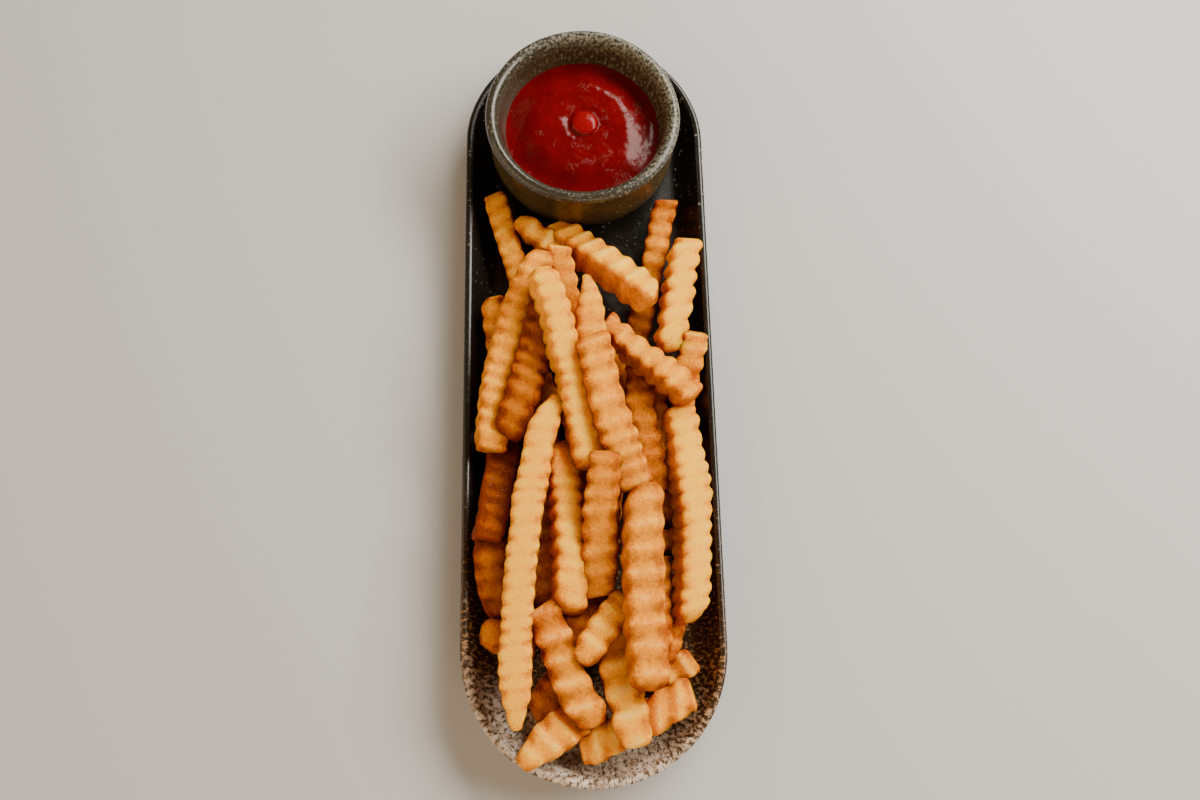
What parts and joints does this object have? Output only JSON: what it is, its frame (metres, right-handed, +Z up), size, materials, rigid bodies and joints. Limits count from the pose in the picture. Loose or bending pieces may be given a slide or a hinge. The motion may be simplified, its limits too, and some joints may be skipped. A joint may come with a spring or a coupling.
{
  "type": "plate of crinkle-cut fries with a pot of ketchup",
  "caption": "Long narrow round-ended plate piled with crinkle-cut fries, with a round glazed pot of ketchup standing at its far end.",
  "frame": {"origin": "on the table under the middle of the plate", "axes": "+Z up, +Y along the plate towards the ketchup pot, +X across the plate to the right when seen from its near end"},
  "size_m": [0.09, 0.281, 0.0417],
  "materials": {
    "plate_glaze": "black-brown semi-gloss glaze that breaks into pale grey with brown speckles at the near end",
    "pot_glaze": "olive-brown speckled semi-gloss glaze, paler on the rim",
    "ketchup": "deep red glossy ketchup, smooth with a small raised peak",
    "fried_potato": "fried potato, pale cream-yellow on top and golden orange on the sides and in the gaps, slightly oily"
  },
  "bodies": {
    "root": {"plate": "plate_glaze", "pot": "pot_glaze", "ketchup": "ketchup", "fries": "fried_potato"}
  },
  "joints": []
}
